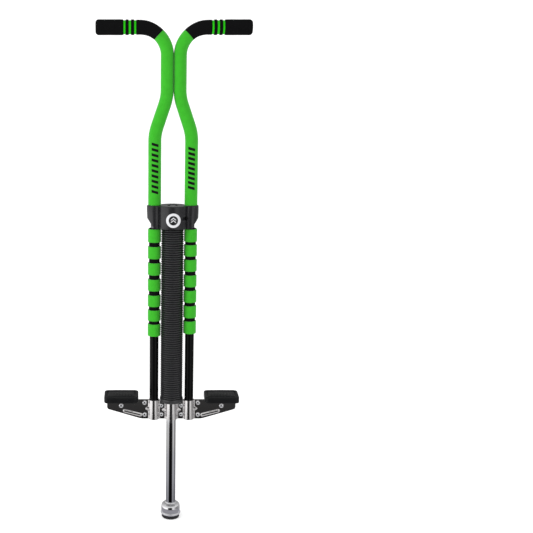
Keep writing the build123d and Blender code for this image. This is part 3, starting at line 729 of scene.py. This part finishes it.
def build_foot():
    """The bell-shaped cup and the rubber tip."""
    foot, top = span("foot_cup")
    flange_r = tube_radius("foot_cup")
    bore = tube_radius("plunger_tube") + 0.02 * MM
    tip_r = tube_radius("rubber_tip")
    socket_r = tip_r + 0.2 * MM
    shoulder_r, hole_r = 21.6 * MM, 6.0 * MM
    web_foot, web_top = foot + 10.4 * MM, foot + 14.4 * MM
    section = [
        (bore, top, 0.2 * MM), (bore + 1.3 * MM, top, 0.6 * MM), (bore + 1.9 * MM, top - 2.0 * MM, 1.2 * MM),
        (16.2 * MM, top - 3.0 * MM, 2.5 * MM), (20.6 * MM, top - 6.0 * MM, 3.5 * MM),
        (shoulder_r, top - 11.0 * MM, 2.5 * MM), (shoulder_r, foot + 4.2 * MM, 0.6 * MM),
        (flange_r, foot + 3.0 * MM, 1.3 * MM), (flange_r, foot, 1.1 * MM), (socket_r, foot, 0.4 * MM),
        (socket_r, web_foot, 0.5 * MM), (hole_r, web_foot, 0.3 * MM),
        (hole_r, web_top, 0.3 * MM), (bore, web_top, 0.3 * MM),
    ]
    piece("foot_bell", *lathe(rounded(section, 1 * MM, 8), 96), "foot_cup")
    groove, depth = 5.4 * MM, 0.9 * MM
    pad_top, stud_r, stud_top = 19.8 * MM, 6 * MM, 25 * MM
    section = [
        (0.0, 0.0, 0.0), (tip_r, 0.0, 3.4 * MM), (tip_r, groove - 0.9 * MM, 0.4 * MM),
        (tip_r - depth, groove - 0.4 * MM, 0.3 * MM), (tip_r - depth, groove + 0.4 * MM, 0.3 * MM),
        (tip_r, groove + 0.9 * MM, 0.4 * MM), (tip_r, pad_top, 0.5 * MM), (stud_r, pad_top, 0.3 * MM),
        (stud_r, stud_top, 0.5 * MM), (0.0, stud_top, 0.0),
    ]
    piece("foot_tip", *lathe(rounded(section, 1 * MM, 8), 96), "rubber_tip")


# ---- bracket ----

PLATE_T = 2.0 * MM
BRACKET_LOW, BRACKET_HIGH = span("front_plate")
WING_X = high("front_plate").x
CENTRE_R = 14.0 * MM
SOCKET_R = TUBE_R + PLATE_T
BEND_R = 2.6 * MM                   # of the concave bend at each side of a socket
BEND_DEPTH = PLATE_T + BEND_R       # how far out that bend's centre is
NOTCH = (26.0 * MM, 282.0 * MM)     # half width and height of the step in the upper edge
KNEE_X, WING_RISE, CORNER_R = 68.5 * MM, 0.30, 4.5 * MM
BEADS = (Vector((106.5 * MM, 259.4 * MM)), Vector((70.5 * MM, 250.2 * MM)))
DARTS = ((TUBE_X + SOCKET_R - 1.5 * MM, 265.0 * MM), (CENTRE_R - 1.5 * MM, 262.0 * MM))  # root and height
WING_RIVETS = ((60.8, 278.9), (60.8, 250.4), (114.2, 271.7))   # x and height in mm
INNER_RIVETS = ((22.3, 272.0), (22.3, 251.0))


def socket_reach(radius):
    """From a socket's middle to where the plate turns flat."""
    return math.sqrt((radius + BEND_R) ** 2 - BEND_DEPTH ** 2)


def socket_profile():
    """The pressed plate's outer face seen from above, as (x, depth) points about a millimetre apart."""
    points = []

    def flat(x0, x1):
        """Plain plate between two bends."""
        count = max(1, int((x1 - x0) / (1.2 * MM)))
        points.extend((x0 + (x1 - x0) * i / count, PLATE_T) for i in range(count))

    def bump(x0, radius):
        """A half-round socket with a concave bend each side."""
        reach = socket_reach(radius)
        meet = math.asin(BEND_DEPTH / (radius + BEND_R))
        bend_turns = [(math.pi / 2 - meet) * i / 7 for i in range(7)]
        for turn in bend_turns:
            points.append((x0 - reach + BEND_R * math.sin(turn), BEND_DEPTH - BEND_R * math.cos(turn)))
        for i in range(29):
            turn = math.pi - meet - (math.pi - 2 * meet) * i / 28
            points.append((x0 + radius * math.cos(turn), radius * math.sin(turn)))
        for turn in reversed(bend_turns):
            points.append((x0 + reach - BEND_R * math.sin(turn), BEND_DEPTH - BEND_R * math.cos(turn)))

    side_reach, centre_reach = socket_reach(SOCKET_R), socket_reach(CENTRE_R)
    clear = 0.2 * MM   # keeps a flat's first point off the bend's last one
    flat(-WING_X, -TUBE_X - side_reach)
    bump(-TUBE_X, SOCKET_R)
    flat(-TUBE_X + side_reach + clear, -centre_reach)
    bump(0.0, CENTRE_R)
    flat(centre_reach + clear, TUBE_X - side_reach)
    bump(TUBE_X, SOCKET_R)
    flat(TUBE_X + side_reach + clear, WING_X)
    points.append((WING_X, PLATE_T))
    return points


def plate_edges(x):
    """The plate's lower and upper edge at x."""
    def corner_drop(radius):
        """How far a rounded outer corner has come in at x."""
        past = max(0.0, x - (WING_X - radius))
        return radius - math.sqrt(max(0.0, radius ** 2 - past ** 2))

    x = abs(x)
    notch_x, notch_z = NOTCH
    knee_half, knee_lift, notch_ramp, upper_corner_r = 6 * MM, 0.5 * MM, 2 * MM, 2 * MM
    near_knee = 1 - min(1.0, abs(x - KNEE_X) / knee_half)
    lower = BRACKET_LOW + max(0.0, (x - KNEE_X) * WING_RISE) + knee_lift * near_knee ** 2
    notched = max(0.0, min(1.0, (notch_x + notch_ramp / 2 - x) / notch_ramp))
    upper = BRACKET_HIGH - (BRACKET_HIGH - notch_z) * notched
    return lower + corner_drop(CORNER_R), upper - corner_drop(upper_corner_r)


def embossing(x, z):
    """How far the face stands out beyond the plain plate: the wing's long bead and the darts at the bends."""
    x = abs(x)
    start, end = BEADS
    spot = Vector((x, z))
    along = (end - start).normalized()
    t = max(0.0, min((end - start).length, (spot - start).dot(along)))
    away = (spot - start - along * t).length
    bead_half, bead_h, flank_share = 3.8 * MM, 1.8 * MM, 0.55
    flank = min(1.0, max(0.0, (bead_half - away) / (flank_share * bead_half)))
    height = bead_h * (1 - math.cos(math.pi * flank)) / 2
    reach, tall, lift = 9.5 * MM, 6.0 * MM, 5.5 * MM
    for root, dart_z in DARTS:
        out = x - root
        if -1 * MM < out < reach:
            share = 1 - max(0.0, out) / reach
            off = abs(z - dart_z) / (tall * share)
            if off < 1:
                height = max(height, lift * share * (1 - off ** 1.6))
    return height


def bracket_plate():
    """One pressed plate's front: a sheet that follows the sockets, given its thickness by its inner face."""
    profile = socket_profile()
    rows = 46
    outer_grid, inner_grid = [], []
    for i, (x, depth) in enumerate(profile):
        before, after = profile[max(0, i - 1)], profile[min(len(profile) - 1, i + 1)]
        run = Vector((after[0] - before[0], after[1] - before[1])).normalized()
        back = Vector((x, depth)) - Vector((-run.y, run.x)) * PLATE_T
        lower, upper = plate_edges(x)
        column, inner_column = [], []
        for j in range(rows + 1):
            z = lower + (upper - lower) * j / rows
            column.append(Vector((x, -max(depth, PLATE_T + embossing(x, z)), z)))
            inner_column.append(Vector((back.x, -max(0.0, back.y), z)))
        outer_grid += column
        inner_grid += inner_column
    columns, height = len(profile), rows + 1
    shift = columns * height
    faces = []
    for i in range(columns - 1):
        for j in range(rows):
            a, b = i * height + j, (i + 1) * height + j
            faces.append((a, b, b + 1, a + 1))
            faces.append((shift + a, shift + a + 1, shift + b + 1, shift + b))
        for j, flip in ((0, False), (rows, True)):
            a, b = i * height + j, (i + 1) * height + j
            rim = (a, shift + a, shift + b, b)
            faces.append(tuple(reversed(rim)) if flip else rim)
    for i, flip in ((0, True), (columns - 1, False)):
        for j in range(rows):
            a = i * height + j
            rim = (a, shift + a, shift + a + 1, a + 1)
            faces.append(tuple(reversed(rim)) if flip else rim)
    return outer_grid + inner_grid, faces


def box_mesh(corner_a, corner_b):
    """A box from two corners."""
    (x0, y0, z0), (x1, y1, z1) = corner_a, corner_b
    verts = [Vector((x, y, z)) for z in (z0, z1) for x, y in ((x0, y0), (x1, y0), (x1, y1), (x0, y1))]
    faces = [(3, 2, 1, 0), (4, 5, 6, 7), (0, 1, 5, 4), (1, 2, 6, 5), (2, 3, 7, 6), (3, 0, 4, 7)]
    return verts, faces


def soften(obj, width, segments, angle):
    """Rounds a piece's sharp edges in its mesh."""
    modifier = obj.modifiers.new("soften", "BEVEL")
    modifier.width = width
    modifier.segments = segments
    modifier.limit_method = "ANGLE"
    modifier.angle_limit = math.radians(angle)
    modifier.harden_normals = False
    apply_modifiers(obj)


def apply_modifiers(obj):
    """Replaces a piece's mesh with its finished one."""
    graph = bpy.context.evaluated_depsgraph_get()
    finished = bpy.data.meshes.new_from_object(obj.evaluated_get(graph))
    obj.modifiers.clear()
    obj.data = finished


def build_bracket():
    """Both pressed plates with their flanges, and the rivets through them."""
    flange_x = (84.0 * MM, 143.0 * MM)
    flange_y = -low("front_plate").y
    flange_foot = BRACKET_HIGH - PLATE_T
    flange = box_mesh((flange_x[0], -flange_y, flange_foot), (flange_x[1], -PLATE_T * 0.5, BRACKET_HIGH))
    mirror_x = Matrix.Scale(-1, 4, (1, 0, 0))
    mirror_y = Matrix.Scale(-1, 4, (0, 1, 0))
    front = joined([bracket_plate(), flange, moved(flange, mirror_x)])
    for name, matrix in (("front", Matrix.Identity(4)), ("back", mirror_y)):
        made = piece(f"{name}_bracket_plate", *moved(front, matrix), f"{name}_plate", sharp=50)
        soften(made, 0.35 * MM, 2, 60)
    build_rivets("wing_rivet_heads", "wing_rivets", WING_RIVETS, 5.1 * MM)
    build_rivets("inner_rivet_heads", "inner_rivets", INNER_RIVETS, 4.6 * MM)


def build_rivets(name, node, places, head_r):
    """Domed heads on both faces, joined by their shanks."""
    top = PLATE_T + 2.6 * MM
    skirt = PLATE_T + 0.3 * MM
    shank = 2.5 * MM
    turns = [math.pi / 2 * i / 8 for i in range(8)]
    dome = [(head_r * math.cos(turn), skirt + (top - skirt) * math.sin(turn)) for turn in turns]
    half = [(shank, 0.0), (shank, PLATE_T), (head_r - 0.2 * MM, PLATE_T), *dome, (0.0, top)]
    outline = [(r, -h) for r, h in reversed(half)] + half[1:]
    head = moved(lathe(outline, 40, closed=False), Matrix.Rotation(math.radians(90), 4, "X"))
    parts = []
    for side in SIDES.values():
        parts += [moved(head, Matrix.Translation((side * x * MM, 0, z * MM))) for x, z in places]
    piece(name, *joined(parts), node, sharp=50)


# ---- foot pegs ----


def tread_ring(centre, half_x, half_y, radius, z, bow, count):
    """One ring of a tread: a round-cornered oblong whose long sides bow outwards."""
    ring = []
    for k in range(count):
        turn = math.tau * k / count
        c, s = math.cos(turn), math.sin(turn)
        reach = 1 / max(abs(c) / (half_x / half_y), abs(s)) * half_y
        x, y = c * reach, s * reach
        ex, ey = half_x - radius, half_y - radius
        if abs(x) > ex and abs(y) > ey:
            away = Vector((abs(x) - ex, abs(y) - ey))
            away = away.normalized() * radius
            x, y = math.copysign(ex + away.x, x), math.copysign(ey + away.y, y)
        y += math.copysign(bow * (1 - (x / half_x) ** 2), y) * min(1.0, abs(y) / half_y)
        ring.append(Vector((centre + x, y, z)))
    return ring


def tread_mesh():
    """The right-hand tread: steep sides, a rounded rim, a sunk floor, a raised pad and a pocket below."""
    x0, x1 = low("right_peg_tread").x, high("right_peg_tread").x
    z0, z1 = span("right_peg_tread")
    centre, half_x, half_y = (x0 + x1) / 2, (x1 - x0) / 2, high("right_peg_tread").y
    rim, pad, floor_z, pad_z = 4.8 * MM, 8.4 * MM, z1 - 2.4 * MM, z1 - 0.5 * MM
    bow, count = 1.2 * MM, 128
    levels = [  # inset from the outline, and height
        (8.0 * MM, BRACKET_HIGH), (8.0 * MM, z0 + 0.3 * MM), (7.6 * MM, z0), (2.6 * MM, z0),
        (1.0 * MM, z0 + 0.5 * MM), (0.2 * MM, z0 + 1.6 * MM), (0.0, z0 + 3.0 * MM), (0.1 * MM, z1 - 1.8 * MM),
        (0.5 * MM, z1 - 0.6 * MM), (1.3 * MM, z1), (rim - 1.0 * MM, z1), (rim - 0.2 * MM, z1 - 0.5 * MM),
        (rim + 0.4 * MM, floor_z + 0.4 * MM), (rim + 1.0 * MM, floor_z), (pad, floor_z),
        (pad + 0.5 * MM, pad_z - 0.5 * MM), (pad + 1.2 * MM, pad_z),
    ]
    verts, faces = [], []
    for inset, z in levels:
        corner = max(2.0 * MM, 8.0 * MM - inset * 0.6)
        verts += tread_ring(centre, half_x - inset, half_y - inset - bow, corner, z, bow, count)
    for i in range(len(levels) - 1):
        for k in range(count):
            n = (k + 1) % count
            faces.append((i * count + k, i * count + n, (i + 1) * count + n, (i + 1) * count + k))
    last = (len(levels) - 1) * count
    faces.append(tuple(range(last, last + count)))
    faces.append(tuple(reversed(range(count))))
    inner = pad + 4 * MM
    return (verts, faces), (centre, half_x - inner, half_y - inner, pad_z)


def grip_bars(centre, half_x, half_y, z):
    """Low round bars across the pad, where the real one carries raised lettering."""
    bars, width, height, sunk, steps = 9, 2.4 * MM, 0.7 * MM, 0.2 * MM, 8
    turns = [math.pi * j / steps for j in range(steps + 1)]
    arch = [(math.cos(turn) * width / 2, math.sin(turn) * height) for turn in turns]
    row = len(arch)
    ends = [(half_y, 0.05), (half_y - 0.3 * MM, 0.7), (half_y - 1.2 * MM, 1.0)]   # place, share of size
    stations = [(-y, full) for y, full in ends] + ends[::-1]
    parts = []
    for i in range(bars):
        x = centre - half_x + 2 * half_x * i / (bars - 1)
        verts, faces = [], []
        for y, full in stations:
            verts += [Vector((x + a * full, y, z - sunk + b * full)) for a, b in arch]
        for e in range(len(stations) - 1):
            first, second = e * row, (e + 1) * row
            for j in range(steps):
                faces.append((first + j, first + j + 1, second + j + 1, second + j))
            faces.append((first + steps, first, second, second + steps))
        faces.append(tuple(reversed(range(row))))
        faces.append(tuple((len(stations) - 1) * row + j for j in range(row)))
        parts.append((verts, faces))
    return parts


def build_treads():
    """Both treads."""
    body, pad = tread_mesh()
    tread = joined([body, *grip_bars(*pad)])
    for name, side in SIDES.items():
        flip = Matrix.Scale(side, 4, (1, 0, 0))
        piece(f"{name}_tread", *moved(tread, flip), f"{name}_peg_tread", sharp=45)


# ---- collar, and nodes seen as the CAD made them ----


def build_collar():
    """The collar's own CAD mesh with its edges rounded, and its badge."""
    edge_r, merge_within, sharp = 0.5 * MM, 0.002 * MM, 35
    source = frame["nodes"]["collar"]
    verts = [source.matrix_world @ v.co for v in source.data.vertices]
    faces = [tuple(p.vertices) for p in source.data.polygons]
    made = piece("collar_moulding", verts, faces, "collar", "collar_plastic", sharp)
    weld = made.modifiers.new("weld", "WELD")
    weld.merge_threshold = merge_within
    soften(made, edge_r, 3, 35)
    made.data.shade_smooth()
    made.data.set_sharp_from_angle(angle=math.radians(sharp))


def dress_cad_nodes():
    """Gives each CAD node its material, for those that are seen as they are."""
    for node, obj in frame["nodes"].items():
        look = "button_plastic" if node.endswith("snap_button") else SLOT_OF[node]
        obj.data.materials.clear()
        obj.data.materials.append(MATERIALS[look])


# ---- stage, light and camera ----


def stage_piece(name, verts, faces, look):
    """A mesh that belongs to the studio, with its own plain material."""
    mesh = bpy.data.meshes.new(name)
    mesh.from_pydata(verts, [], faces)
    mesh.shade_smooth()
    mesh.materials.append(material(f"{name}_look", look)[0])
    made = bpy.data.objects.new(name, mesh)
    bpy.context.collection.objects.link(made)
    return made


def build_stage():
    """A pale floor that sweeps up far behind, and two cards under the foot for its reflections."""
    size, rise_at, sweep_r, top = 6.0, 2.6, 1.0, 4.0
    rows = [(-size, 0.0), (rise_at, 0.0)]
    for i in range(1, 13):
        turn = math.pi / 2 * i / 12
        rows.append((rise_at + sweep_r * math.sin(turn), sweep_r - sweep_r * math.cos(turn)))
    rows.append((rise_at + sweep_r, top))
    verts = [(x, y, z) for y, z in rows for x in (-size, size)]
    faces = [(2 * i, 2 * i + 1, 2 * i + 3, 2 * i + 2) for i in range(len(rows) - 1)]
    paper = {
        "Base Color": (0.75, 0.75, 0.75, 1.0), "Roughness": 0.9, "Specular IOR Level": 0.1,
        "Emission Color": (1.0, 1.0, 1.0, 1.0), "Emission Strength": 0.36,
    }
    floor = stage_piece("floor", verts, faces, paper)
    floor.visible_glossy = False
    turns = [math.tau * k / 64 for k in range(64)]
    cards = (("foot_card", 50 * MM, 0.5 * MM, 0.66), ("foot_card_rim", 78 * MM, 1 * MM, 0.36))
    for name, radius, depth, level in cards:
        verts = [(radius * math.cos(turn), radius * math.sin(turn), -depth) for turn in turns]
        glow = {
            "Base Color": (0.0, 0.0, 0.0, 1.0), "Specular IOR Level": 0.0,
            "Emission Color": (0.93, 0.92, 1.0, 1.0), "Emission Strength": level,
        }
        card = stage_piece(name, verts, [tuple(range(len(turns)))], glow)
        card.visible_camera = False
        card.visible_diffuse = False
        card.visible_shadow = False


def build_world():
    """A white studio. Reflections see bright panels to the sides, a dark gap in front and a dim floor."""
    world = bpy.data.worlds.new("studio")
    bpy.context.scene.world = world
    world.use_nodes = True
    nodes = Nodes(world.node_tree)
    background = world.node_tree.nodes["Background"]
    direction = nodes.add("ShaderNodeTexCoord").outputs["Generated"]
    x, y, z = coordinates(nodes, direction)
    azimuth = nodes.math("ARCTAN2", x, nodes.math("MULTIPLY", y, -1.0))
    turn = nodes.math("ADD", nodes.math("DIVIDE", azimuth, math.tau), 0.5)   # 0.5 is straight in front
    floor_panels = nodes.ramp(
        turn, (0.0, 0.45), (0.10, 0.5), (0.215, 0.93), (0.32, 0.95), (0.345, 0.85), (0.372, 0.05),
        (0.42, 0.01), (0.545, 0.01), (0.575, 0.12), (0.60, 0.6), (0.625, 1.0), (0.695, 1.0),
        (0.715, 0.5), (0.747, 0.27), (0.79, 0.5), (0.861, 0.8), (1.0, 0.45))
    low_panels = nodes.ramp(
        turn, (0.0, 0.5), (0.2, 0.8), (0.26, 1.0), (0.37, 1.0), (0.405, 0.85), (0.418, 0.04), (0.54, 0.03),
        (0.557, 0.70), (0.61, 0.70), (0.66, 0.25), (0.75, 0.2), (0.86, 0.4), (1.0, 0.3))
    high_panels = nodes.ramp(
        turn, (0.0, 0.28), (0.233, 0.95), (0.33, 1.0), (0.46, 0.9), (0.472, 0.02), (0.524, 0.02),
        (0.536, 0.9), (0.69, 0.7), (0.747, 0.35), (0.861, 0.6), (1.0, 0.28))
    height = nodes.math("MULTIPLY", nodes.math("ADD", z, 1.0), 0.5)   # 0.5 is level
    panels = nodes.mix(nodes.ramp(height, (0.3220, 0.0), (0.3232, 1.0)), floor_panels, low_panels)
    panels = nodes.mix(nodes.ramp(height, (0.50, 0.0), (0.54, 1.0)), panels, high_panels)
    overhead = nodes.ramp(turn, (0.0, 0.28), (0.233, 0.9), (0.77, 0.9), (1.0, 0.28))
    far_off_level = nodes.ramp(height, (0.20, 1.0), (0.26, 0.0), (0.58, 0.0), (0.64, 1.0))
    panels = nodes.mix(far_off_level, panels, overhead)
    by_height = nodes.ramp(
        height, (0.18, 0.36), (0.26, (0.15, 0.15, 0.16)), (0.282, (0.155, 0.155, 0.168)),
        (0.287, (0.18, 0.18, 0.195)), (0.294, (0.235, 0.235, 0.25)), (0.305, (0.25, 0.25, 0.262)),
        (0.3065, (0.305, 0.30, 0.295)),
        (0.3212, 0.34), (0.3232, 0.62), (0.345, 0.66), (0.37, 0.66), (0.43, 0.62), (0.5, 0.5), (0.90, 0.42),
        (0.96, 0.20), (1.0, 0.20))
    reflected = nodes.mix(1.0, panels, by_height, blend="MULTIPLY")
    path = nodes.add("ShaderNodeLightPath").outputs
    nodes.put(background.inputs["Color"], nodes.mix(path["Is Glossy Ray"], (0.5, 0.5, 0.5, 1.0), reflected))
    background.inputs["Strength"].default_value = 2.0


def area_light(name, place, target, size, power):
    """A soft box aimed at a point, itself unseen in reflections."""
    data = bpy.data.lights.new(name, "AREA")
    data.shape = "RECTANGLE"
    data.size, data.size_y = size
    data.energy = power
    lamp = bpy.data.objects.new(name, data)
    bpy.context.collection.objects.link(lamp)
    lamp.location = place
    lamp.rotation_euler = (Vector(target) - Vector(place)).to_track_quat("-Z", "Y").to_euler()
    lamp.visible_glossy = False


def build_lights():
    """A stronger light from the left and a weaker one from the right."""
    area_light("left_softbox", (-1.7, -0.9, 1.3), (0, 0, 0.7), (0.8, 1.8), 22.0)
    area_light("right_fill", (1.8, -0.7, 1.0), (0, 0, 0.6), (0.6, 1.6), 4.0)


def build_camera():
    """In front of the stick and a little to its left, above half its height, looking slightly down."""
    data = bpy.data.cameras.new("camera")
    data.sensor_width = 36.0
    data.lens = 59.44
    data.shift_x = 0.24015
    camera = bpy.data.objects.new("camera", data)
    bpy.context.collection.objects.link(camera)
    camera.location = (-0.0748, -1.912, 0.9663)
    camera.rotation_euler = (math.radians(90.0 - 11.0), 0.0, 0.0)
    bpy.context.scene.camera = camera


# ---- everything ----

build_handles()
build_lower_foam()
build_bellows()
build_tubes()
build_foot()
build_bracket()
build_treads()
build_collar()
build_spring()
dress_cad_nodes()
build_stage()
build_world()
build_lights()
build_camera()
bpy.context.scene.view_settings.view_transform = "Standard"
